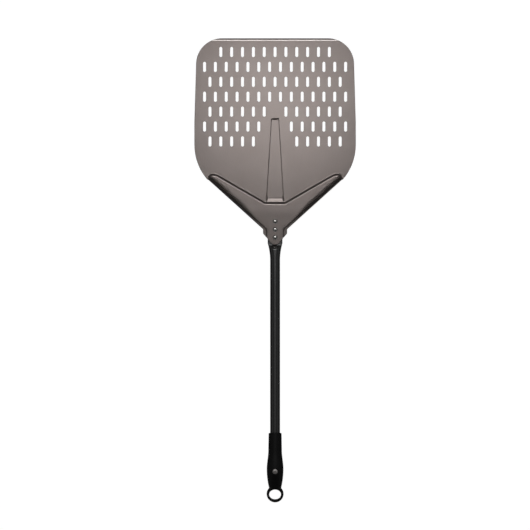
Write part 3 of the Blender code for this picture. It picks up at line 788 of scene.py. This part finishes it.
def lofted(rings, closed_ends=False, closed_round=False):
    """A mesh through rings of points."""
    work = bmesh.new()
    rows = [[work.verts.new(point) for point in ring] for ring in rings]
    pairs = list(zip(rows, rows[1:]))
    if closed_round:
        pairs.append((rows[-1], rows[0]))
    for near, far in pairs:
        for index in range(len(near)):
            following = (index + 1) % len(near)
            work.faces.new((near[index], near[following], far[following], far[index]))
    if closed_ends:
        work.faces.new(list(reversed(rows[0])))
        work.faces.new(rows[-1])
    bmesh.ops.recalc_face_normals(work, faces=work.faces)
    return mesh_from(work, "lofted")


def turned(profile, closed=False):
    """A solid of revolution about Z from a profile of radii and heights."""
    mesh = bpy.data.meshes.new("profile")
    edges = [(index, index + 1) for index in range(len(profile) - 1)]
    if closed:
        edges.append((len(profile) - 1, 0))
    mesh.from_pydata([(radius, 0.0, height) for radius, height in profile], edges, [])
    solid = modified(mesh, "SCREW", steps=TURNED_STEPS, render_steps=TURNED_STEPS,
                     use_merge_vertices=True, merge_threshold=MERGE_DISTANCE)
    work = bmesh.new()
    work.from_mesh(solid)
    bmesh.ops.recalc_face_normals(work, faces=work.faces)
    return shade_round(mesh_from(work, "turned"))


def rod(radius, low, high, station=0.0):
    """An upright cutting cylinder at a station of the handle."""
    mesh = turned([(0.0, high), (radius, high), (radius, low), (0.0, low)])
    mesh.transform(Matrix.Translation((0.0, -station, 0.0)))
    return mesh


# -------- handle

def handle_matrix():
    """The handle's frame: origin at the end of the neck, -Y along the tube, +Z out of the neck."""
    below_neck = SHEET + FIT_GAP + FLAT_HALF_HEIGHT
    height = BLADE_TOP + STEP_HEIGHT + float(neck_rise(np.float64(HANDLE_START)))
    place = Vector((0.0, FRONT_Y - HANDLE_START - below_neck * math.sin(NECK_RISE_ANGLE),
                    height - below_neck * math.cos(NECK_RISE_ANGLE)))
    return Matrix.Translation(place) @ Matrix.Rotation(-NECK_RISE_ANGLE, 4, "X")


def squeezed_section(half_width, half_height):
    """Evenly spaced points round two half circles joined by flats, as a squeezed tube has."""
    flat = half_width - half_height
    quarter = math.pi * half_height / 2
    half_count = TUBE_SIDES // 2
    points = []
    for index in range(half_count):
        along = 2 * (quarter + flat) * index / half_count
        if along < quarter:
            angle = along / half_height
            point = (flat + half_height * math.cos(angle), half_height * math.sin(angle))
        elif along < quarter + 2 * flat:
            point = (flat + quarter - along, half_height)
        else:
            angle = (along - 2 * flat) / half_height
            point = (half_height * math.cos(angle) - flat, half_height * math.sin(angle))
        points.append(point)
    return points + [(-x, -z) for x, z in points]


def tube_ring(station):
    """The tube's outer surface at a station: flat under the neck, then opening out to round."""
    narrowing = positive(station - WIDTH_TAPER_START, TAPER_FILLET) / WIDTH_TAPER_RUN
    wider = (FLAT_HALF_WIDTH - TUBE_RADIUS) * (1.0 - min(1.0, narrowing)) ** 2
    opening = ramp(station - HEIGHT_TAPER_START, HEIGHT_TAPER_RUN, HEIGHT_TAPER_FILLET)
    flatter = (TUBE_RADIUS - FLAT_HALF_HEIGHT) * (1.0 - opening)
    section = squeezed_section(TUBE_RADIUS + wider, TUBE_RADIUS - flatter)
    return [(x, -station, z) for x, z in section]


def tube_mesh():
    """The handle tube, its front end squeezed flat and drilled for the rivets."""
    taper_start = WIDTH_TAPER_START - 2 * TAPER_FILLET
    taper_end = WIDTH_TAPER_START + WIDTH_TAPER_RUN
    stations = [TUBE_FRONT]
    for index in range(TAPER_STEPS + 1):
        stations.append(taper_start + (taper_end - taper_start) * index / TAPER_STEPS)
    for index in range(1, STRAIGHT_STEPS + 1):
        stations.append(taper_end + (TUBE_END - taper_end) * index / STRAIGHT_STEPS)
    skin = lofted([tube_ring(station) for station in stations])
    tube = modified(skin, "SOLIDIFY", thickness=TUBE_WALL, offset=-1.0, use_even_offset=True)
    tube = modified(tube, "BEVEL", width=TUBE_END_EDGE, segments=TUBE_END_SEGMENTS,
                    limit_method="ANGLE", angle_limit=TUBE_END_ANGLE)
    drills = [rod(RIVET_SHANK_RADIUS + FIT_GAP, -TUBE_RADIUS, TUBE_RADIUS, station)
              for station in NECK_RIVET_STATIONS]
    drills.append(rod(BLIND_BODY_RADIUS + FIT_GAP, TUBE_RADIUS / 2, 2 * TUBE_RADIUS,
                      GRIP_RIVET_STATION))
    return shade_round(cut(tube, joined(drills)))


def rounded_dome(radius, height, base, rim):
    """Profile of a shallow dome with a rounded rim, from its crown to its seat."""
    inner_radius = radius - rim
    inner_height = height - 2 * rim
    sweep = 2 * math.atan2(inner_height, inner_radius)
    sphere = inner_radius / math.sin(sweep)
    center = base + rim + inner_height - sphere
    points = []
    for index in range(DOME_STEPS + 1):
        angle = sweep * index / DOME_STEPS
        reach = sphere + rim
        points.append((reach * math.sin(angle), center + reach * math.cos(angle)))
    for index in range(1, DOME_RIM_STEPS + 1):
        angle = sweep + (math.pi - sweep) * index / DOME_RIM_STEPS
        points.append((inner_radius + rim * math.sin(angle), base + rim + rim * math.cos(angle)))
    return points


def upside_down(profile, base):
    """A dome's profile turned over, from its seat to its crown below."""
    return [(radius, base - height) for radius, height in reversed(profile)]


def neck_rivet_mesh():
    """A solid rivet with a domed head and the flatter tail that was formed below."""
    head_base = FLAT_HALF_HEIGHT + FIT_GAP + SHEET + FIT_GAP
    tail_base = -FLAT_HALF_HEIGHT - FIT_GAP
    profile = rounded_dome(RIVET_HEAD_RADIUS, RIVET_HEAD_HEIGHT, head_base, RIVET_RIM)
    profile += [(RIVET_SHANK_RADIUS, head_base), (RIVET_SHANK_RADIUS, tail_base)]
    tail = rounded_dome(RIVET_TAIL_RADIUS, RIVET_TAIL_HEIGHT, 0.0, RIVET_RIM)
    return turned(profile + upside_down(tail, tail_base))


def blind_rivet_mesh():
    """The hollow body of the blind rivet, its bulb spread inside the tube."""
    head_base = GRIP_SEAT_HEIGHT + FIT_GAP
    bulb_top = TUBE_RADIUS - TUBE_WALL - 2 * FIT_GAP
    head = rounded_dome(BLIND_HEAD_RADIUS, BLIND_HEAD_HEIGHT, head_base, BLIND_RIM)
    lip = BLIND_BORE_RADIUS + BLIND_LIP
    outer = [point for point in head if point[0] > lip]
    profile = [(BLIND_BORE_RADIUS, outer[0][1] - BLIND_LIP), (lip, outer[0][1]), *outer]
    profile += [(BLIND_BODY_RADIUS, head_base), (BLIND_BODY_RADIUS, bulb_top)]
    for index in range(1, BULB_STEPS + 1):
        angle = math.pi * index / BULB_STEPS
        swell = (BLIND_BULB_RADIUS - BLIND_BODY_RADIUS) * math.sin(angle) ** BLIND_BULB_POWER
        height = bulb_top - BLIND_BULB_DEPTH * (1 - math.cos(angle)) / 2
        profile.append((BLIND_BODY_RADIUS + swell, height))
    profile += [(BLIND_BODY_RADIUS, BLIND_END_HEIGHT), (BLIND_BORE_RADIUS, BLIND_END_HEIGHT)]
    return turned(profile, closed=True)


def rivet_pin_mesh():
    """The captive pin of the blind rivet, necked and broken just below the head's crown."""
    top = GRIP_SEAT_HEIGHT + FIT_GAP + BLIND_HEAD_HEIGHT - PIN_BREAK_DEPTH
    shoulder = BLIND_END_HEIGHT - FIT_GAP
    neck = PIN_RADIUS - PIN_BREAK_CHAMFER
    profile = [(0.0, top - PIN_BREAK_CHAMFER / 2), (neck / 2, top), (neck, top),
               (PIN_RADIUS, top - PIN_BREAK_CHAMFER), (PIN_RADIUS, shoulder)]
    crown = rounded_dome(PIN_HEAD_RADIUS, PIN_RIM_HEIGHT + PIN_CROWN_HEIGHT, 0.0, BLIND_RIM)
    return turned(profile + upside_down(crown, shoulder))


def grip_half_width(station):
    """Plan outline of the grip: a sleeve, a swell and a waist."""
    if station < GRIP_SLEEVE_END:
        share = (station - GRIP_START) / (GRIP_SLEEVE_END - GRIP_START)
        return GRIP_MOUTH_RADIUS + share * (GRIP_SLEEVE_RADIUS - GRIP_MOUTH_RADIUS)
    if station < GRIP_SWELL_STATION:
        share = (station - GRIP_SLEEVE_END) / (GRIP_SWELL_STATION - GRIP_SLEEVE_END)
        return GRIP_SLEEVE_RADIUS + ease(share) * (GRIP_SWELL_HALF_WIDTH - GRIP_SLEEVE_RADIUS)
    share = (station - GRIP_SWELL_STATION) / (GRIP_WAIST_STATION - GRIP_SWELL_STATION)
    return GRIP_SWELL_HALF_WIDTH - (GRIP_SWELL_HALF_WIDTH - GRIP_WAIST_HALF_WIDTH) * share ** 2


def grip_half_height(station):
    """Side outline of the grip: round on the tube, then flattened towards the ring."""
    swelling = ease((station - GRIP_SLEEVE_END) / (GRIP_SWELL_STATION - GRIP_SLEEVE_END))
    full = min(grip_half_width(station), GRIP_SLEEVE_RADIUS)
    if station > GRIP_SWELL_STATION:
        full = GRIP_SLEEVE_RADIUS
    full += swelling * (GRIP_SWELL_HALF_HEIGHT - GRIP_SLEEVE_RADIUS)
    flattening = ease((station - GRIP_FLATTEN_START) / (GRIP_FLATTEN_END - GRIP_FLATTEN_START))
    return full + flattening * (RING_HALF_THICKNESS - full)


def grip_ring(station, inset=0.0):
    """The grip's section at a station, an ellipse."""
    half_width = grip_half_width(station) - inset
    half_height = grip_half_height(station) - inset
    angles = [2 * math.pi * index / GRIP_SIDES for index in range(GRIP_SIDES)]
    return [(half_width * math.cos(a), -station, half_height * math.sin(a)) for a in angles]


def grip_body():
    """The grip from its rounded mouth to the place where it runs into the ring."""
    rings = []
    for index in range(RIM_STEPS + 1):
        angle = math.pi / 2 * (1 - index / RIM_STEPS)
        station = GRIP_START + GRIP_MOUTH_ROUNDING * (1 - math.sin(angle))
        rings.append(grip_ring(station, GRIP_MOUTH_ROUNDING * (1 - math.cos(angle))))
    start = GRIP_START + GRIP_MOUTH_ROUNDING
    end = GRIP_WAIST_STATION + GRIP_RING_OVERLAP
    for index in range(1, GRIP_STEPS + 1):
        rings.append(grip_ring(start + (end - start) * index / GRIP_STEPS))
    return lofted(rings, closed_ends=True)


def hanging_ring():
    """The hanging ring, a band with a rounded section between its hole and its outside."""
    rings = []
    for index in range(GRIP_SIDES):
        turn = 2 * math.pi * index / GRIP_SIDES
        inner = Vector((RING_HOLE_HALF_WIDTH * math.cos(turn),
                        -RING_HOLE_STATION - RING_HOLE_HALF_LENGTH * math.sin(turn)))
        outer = Vector((RING_RADIUS * math.cos(turn),
                        -RING_STATION - RING_RADIUS * math.sin(turn)))
        middle, half = (inner + outer) / 2, (outer - inner) / 2
        ring = []
        for step in range(RING_SECTION_SIDES):
            angle = 2 * math.pi * step / RING_SECTION_SIDES
            across = math.copysign(abs(math.cos(angle)) ** RING_SQUARENESS, math.cos(angle))
            up = math.copysign(abs(math.sin(angle)) ** RING_SQUARENESS, math.sin(angle))
            place = middle + half * across
            ring.append((place.x, place.y, up * RING_HALF_THICKNESS))
        rings.append(ring)
    return lofted(rings, closed_round=True)


def grip_mesh():
    """The moulded grip with its soft transitions, its blind bore and its rivet seat."""
    seat = rod(BLIND_HEAD_RADIUS + 2 * FIT_GAP, GRIP_SEAT_HEIGHT, 2 * GRIP_SEAT_HEIGHT,
               GRIP_RIVET_STATION)
    shape = joined([cut(grip_body(), seat), hanging_ring()])
    shape = modified(shape, "REMESH", mode="VOXEL", voxel_size=GRIP_VOXEL)
    shape = modified(shape, "SMOOTH", factor=GRIP_SMOOTHING_SHARE, iterations=GRIP_SMOOTHING)
    radius = TUBE_RADIUS + FIT_GAP
    depth = TUBE_END + FIT_GAP - GRIP_START
    flare = radius + GRIP_BORE_FLARE
    bore = turned([(0.0, 2 * radius), (flare, 2 * radius), (flare, 0.0),
                   (radius, -GRIP_BORE_FLARE), (radius, -depth), (0.0, -depth)])
    mouth = Matrix.Translation((0.0, -GRIP_START, 0.0))
    bore.transform(mouth @ Matrix.Rotation(-math.pi / 2, 4, "X"))
    hole = rod(BLIND_BODY_RADIUS + FIT_GAP, TUBE_RADIUS / 2, 2 * GRIP_SEAT_HEIGHT,
               GRIP_RIVET_STATION)
    return shade_round(cut(cut(shape, bore), hole))


# -------- finishes

class Nodes:
    """A node tree that new nodes are added to."""

    def __init__(self, tree):
        self.tree = tree

    def node(self, kind, inputs=None, **settings):
        """A new node with its settings and the values or links of its inputs."""
        made = self.tree.nodes.new(kind)
        for name, value in settings.items():
            setattr(made, name, value)
        for name, value in (inputs or {}).items():
            self.feed(made.inputs[name], value)
        return made

    def feed(self, socket, value):
        """Set an input, or link it to an output."""
        if isinstance(value, bpy.types.NodeSocket):
            self.tree.links.new(value, socket)
        else:
            socket.default_value = value


class Finish(Nodes):
    """A procedural material: its nodes work in the piece's own coordinates."""

    def __init__(self, name):
        self.material = bpy.data.materials.new(name)
        self.material.use_nodes = True
        super().__init__(self.material.node_tree)
        self.shader = self.tree.nodes["Principled BSDF"]
        self.place = self.node("ShaderNodeTexCoord").outputs["Object"]

    def set(self, name, value):
        """Set or link one of the shader's inputs."""
        self.feed(self.shader.inputs[name], value)

    def noise(self, scale, detail=2.0, stretch=(1.0, 1.0, 1.0)):
        """Noise with a number of features per metre, scaled along each axis by stretch."""
        mapping = self.node("ShaderNodeMapping", {"Vector": self.place, "Scale": stretch})
        texture = self.node("ShaderNodeTexNoise", {
            "Vector": mapping.outputs["Vector"], "Scale": scale, "Detail": detail})
        return texture.outputs["Fac"]

    def spread(self, value, low, high, start=NOISE_LOW, end=NOISE_HIGH):
        """A value mapped from start..end to low..high."""
        mapped = self.node("ShaderNodeMapRange", {
            "Value": value, "From Min": start, "From Max": end, "To Min": low, "To Max": high})
        return mapped.outputs["Result"]

    def colors(self, value, shades):
        """A colour that runs between two shades as noise goes through its range."""
        made = self.node("ShaderNodeValToRGB", {"Fac": value})
        low, high = made.color_ramp.elements
        low.position, high.position = NOISE_LOW, NOISE_HIGH
        low.color, high.color = [(*shade, 1.0) for shade in shades]
        return made.outputs["Color"]

    def mix(self, share, first, second, kind="MIX"):
        """The second colour over the first one, by a share."""
        made = self.node("ShaderNodeMix", data_type="RGBA", blend_type=kind)
        self.feed(made.inputs[MIX_SHARE], share)
        self.feed(made.inputs[MIX_FIRST], first)
        self.feed(made.inputs[MIX_SECOND], second)
        return made.outputs[MIX_RESULT]

    def edges(self, start, end):
        """How far an edge stands out, as a share between two levels of pointiness."""
        shape = self.node("ShaderNodeNewGeometry")
        return self.spread(shape.outputs["Pointiness"], 0.0, 1.0, start, end)

    def band(self, middle, half_width, fade):
        """A band along X, at a distance from the front edge."""
        along = self.node("ShaderNodeSeparateXYZ", {"Vector": self.place}).outputs["Y"]
        offset = self.node("ShaderNodeMath", {0: along, 1: FRONT_Y - middle}, operation="SUBTRACT")
        away = self.node("ShaderNodeMath", {0: offset.outputs[0]}, operation="ABSOLUTE")
        return self.spread(away.outputs[0], 1.0, 0.0, half_width, half_width + fade)

    def bump(self, height, depth, strength=1.0, base=None):
        """Bump of a depth in metres, on top of another bump if one is given."""
        inputs = {"Height": height, "Distance": depth, "Strength": strength}
        if base:
            inputs["Normal"] = base
        return self.node("ShaderNodeBump", inputs).outputs["Normal"]


def anodised_finish():
    """Satin hard-anodised aluminium: warm grey, finely grained, paler on edges that stand out
    (partly wear, partly painted highlight), with a painted highlight line behind the front
    chamfer.
    """
    finish = Finish("satin_anodised_aluminium")
    clouds = finish.noise(scale=9.0, detail=4.0)
    streaks = finish.noise(scale=60.0, detail=3.0, stretch=(14.0, 1.0, 1.0))
    grain = finish.noise(scale=2600.0)
    color = finish.colors(clouds, WARM_GREYS)
    color = finish.mix(1.0, color, finish.colors(streaks, STREAK_SHADES), "MULTIPLY")
    color = finish.mix(1.0, color, finish.colors(grain, GRAIN_SHADES), "MULTIPLY")
    # Edges that stand out turn paler: partly wear, partly a painted highlight on the fillets
    color = finish.mix(finish.edges(start=0.54, end=0.62), color, WORN_AND_HIGHLIGHT_GREY)
    # Painted highlight: a paler line just behind the front chamfer
    painted_highlight = finish.band(CHAMFER_WIDTH + PAINTED_HIGHLIGHT_WIDTH / 2, PAINTED_HIGHLIGHT_WIDTH / 2, PAINTED_HIGHLIGHT_WIDTH / 4)
    finish.set("Base Color", finish.mix(painted_highlight, color, PAINTED_HIGHLIGHT_GREY))
    finish.set("Metallic", 1.0)
    finish.set("Roughness", finish.spread(streaks, low=0.28, high=0.292))
    finish.set("Normal", finish.bump(grain, depth=0.000012, strength=0.6))
    return finish.material


def coated_finish():
    """Satin black coating with a faint orange peel, a little uneven along the tube."""
    finish = Finish("satin_black_coating")
    peel = finish.noise(scale=520.0)
    dust = finish.noise(scale=3200.0)
    rub = finish.noise(scale=30.0, detail=4.0, stretch=(1.0, 0.35, 1.0))
    finish.set("Base Color", finish.colors(rub, COATING_BLACKS))
    finish.set("Roughness", finish.spread(rub, low=0.26, high=0.34))
    finish.set("Specular IOR Level", 0.9)
    normal = finish.bump(peel, depth=0.000012, strength=0.5)
    finish.set("Normal", finish.bump(dust, depth=0.000004, strength=0.5, base=normal))
    finish.set("Coat Weight", 0.9)
    finish.set("Coat IOR", 1.8)
    finish.set("Coat Roughness", 0.24)
    return finish.material


def plastic_finish():
    """Black moulded plastic with a fine spark-eroded texture, polished where it stands out."""
    finish = Finish("textured_black_plastic")
    grain = finish.noise(scale=1500.0, detail=3.0)
    flow = finish.noise(scale=45.0, detail=3.0, stretch=(1.0, 0.5, 1.0))
    worn = finish.edges(start=0.51, end=0.56)
    finish.set("Base Color", finish.colors(flow, PLASTIC_BLACKS))
    rough = finish.spread(grain, low=0.42, high=0.54)
    polished = finish.node("ShaderNodeMapRange", {"Value": worn, "To Min": rough, "To Max": 0.36})
    finish.set("Roughness", polished.outputs["Result"])
    finish.set("Specular IOR Level", 0.3)
    finish.set("Normal", finish.bump(grain, depth=0.00004, strength=0.45))
    return finish.material


def turned_finish(name, shades, roughness, ring_depth):
    """Metal with fine turning rings about its own axis and a little tarnish."""
    finish = Finish(name)
    tarnish = finish.noise(scale=350.0, detail=4.0)
    rings = finish.node("ShaderNodeTexWave", {
        "Vector": finish.place, "Scale": 1800.0, "Distortion": 1.5, "Detail": 2.0},
        wave_type="RINGS", rings_direction="Z")
    scuffs = finish.noise(scale=1600.0, detail=3.0)
    finish.set("Base Color", finish.colors(tarnish, shades))
    finish.set("Metallic", 1.0)
    finish.set("Roughness", finish.spread(tarnish, low=roughness - 0.05, high=roughness + 0.07))
    normal = finish.bump(rings.outputs["Fac"], depth=ring_depth, strength=0.5)
    finish.set("Normal", finish.bump(scuffs, depth=ring_depth, strength=0.5, base=normal))
    return finish.material


# -------- pieces and stage

def add_piece(name, mesh, finish, node, place):
    """A fine piece in place of a node of the frame."""
    mesh.materials.clear()
    mesh.materials.append(finish)
    piece = new_object(name, mesh)
    piece.matrix_world = place
    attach(piece, "root")
    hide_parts(node)


def add_pieces():
    """Every piece of the peel."""
    handle = handle_matrix()
    add_piece("perforated_blade", blade_mesh(), anodised_finish(), "blade_head",
              Matrix.Identity(4))
    add_piece("coated_tube", tube_mesh(), coated_finish(), "handle_tube", handle)
    steel = turned_finish("bright_rivet_steel", BRIGHT_STEELS, roughness=0.13, ring_depth=0.000003)
    for number, station in enumerate(NECK_RIVET_STATIONS, start=1):
        place = handle @ Matrix.Translation((0.0, -station, 0.0))
        add_piece(f"domed_rivet_{number}", neck_rivet_mesh(), steel, f"neck_rivet_{number}",
                  place)
    add_piece("moulded_grip", grip_mesh(), plastic_finish(), "hand_grip", handle)
    place = handle @ Matrix.Translation((0.0, -GRIP_RIVET_STATION, 0.0))
    aluminium = turned_finish("grey_rivet_aluminium", GREY_ALUMINIUMS, roughness=0.55,
                              ring_depth=0.000006)
    add_piece("blind_rivet_body", blind_rivet_mesh(), aluminium, "grip_rivet",
              place)
    pin = turned_finish("broken_pin_steel", DULL_STEELS, roughness=0.45, ring_depth=0.00001)
    add_piece("broken_rivet_pin", rivet_pin_mesh(), pin, "grip_rivet_mandrel",
              place)


def add_floor():
    """A plain pale floor that isn't mirrored in the metal."""
    mesh = bpy.data.meshes.new("floor")
    half = FLOOR_HALF_SIZE
    corners = [(-half, -half, 0.0), (half, -half, 0.0), (half, half, 0.0), (-half, half, 0.0)]
    mesh.from_pydata(corners, [], [(0, 1, 2, 3)])
    finish = Finish("pale_floor")
    finish.set("Base Color", finish.colors(finish.noise(scale=1.5), FLOOR_GREYS))
    finish.set("Roughness", 0.9)
    finish.set("Emission Color", (1.0, 1.0, 1.0, 1.0))
    finish.set("Emission Strength", FLOOR_GLOW)
    mesh.materials.append(finish.material)
    floor = new_object("floor", mesh)
    floor.visible_glossy = False


def add_softbox(name, place, aim, size, spread, power):
    """A rectangular light that the camera doesn't see."""
    data = bpy.data.lights.new(name, "AREA")
    data.shape = "RECTANGLE"
    data.size, data.size_y = size
    data.spread = spread
    data.energy = power
    light = new_object(name, data)
    light.location = place
    light.rotation_mode = "QUATERNION"
    light.rotation_quaternion = (Vector(aim) - Vector(place)).to_track_quat("-Z", "Y")
    light.visible_camera = False


def add_world():
    """Dark surroundings with a soft glow for reflections, and a pale background for the camera."""
    world = bpy.data.worlds.new("studio")
    bpy.context.scene.world = world
    world.use_nodes = True
    world.node_tree.nodes.clear()
    nodes = Nodes(world.node_tree)
    direction = nodes.node("ShaderNodeTexCoord").outputs["Generated"]
    height = nodes.node("ShaderNodeSeparateXYZ", {"Vector": direction}).outputs["Z"]
    glow = nodes.node("ShaderNodeValToRGB", {"Fac": height})
    stops = glow.color_ramp.elements
    for position, _ in STUDIO_GLOW[1:-1]:
        stops.new(position)
    for stop, (position, level) in zip(stops, STUDIO_GLOW):
        stop.position = position
        stop.color = (level, level, level, 1.0)
    dark = nodes.node("ShaderNodeBackground", {"Color": glow.outputs["Color"]})
    pale = nodes.node("ShaderNodeBackground", {"Color": BACKGROUND_PALE})
    mixed = nodes.node("ShaderNodeMixShader", {
        "Fac": nodes.node("ShaderNodeLightPath").outputs["Is Camera Ray"],
        1: dark.outputs["Background"], 2: pale.outputs["Background"]})
    nodes.node("ShaderNodeOutputWorld", {"Surface": mixed.outputs["Shader"]})


def add_camera():
    """A long lens straight above the peel, with the blade at the top of the picture."""
    data = bpy.data.cameras.new("camera")
    data.lens = CAMERA_LENS
    data.sensor_width = CAMERA_SENSOR
    data.clip_end = 4 * FLOOR_HALF_SIZE
    camera = new_object("camera", data)
    camera.location = (*CAMERA_OVER, FIELD * CAMERA_LENS / CAMERA_SENSOR)
    bpy.context.scene.camera = camera


def main():
    """Build the pieces, the stage and the view."""
    add_pieces()
    add_floor()
    add_world()
    for name, light in LIGHTS.items():
        add_softbox(name, *light)
    add_camera()
    bpy.context.scene.view_settings.view_transform = "Standard"


main()
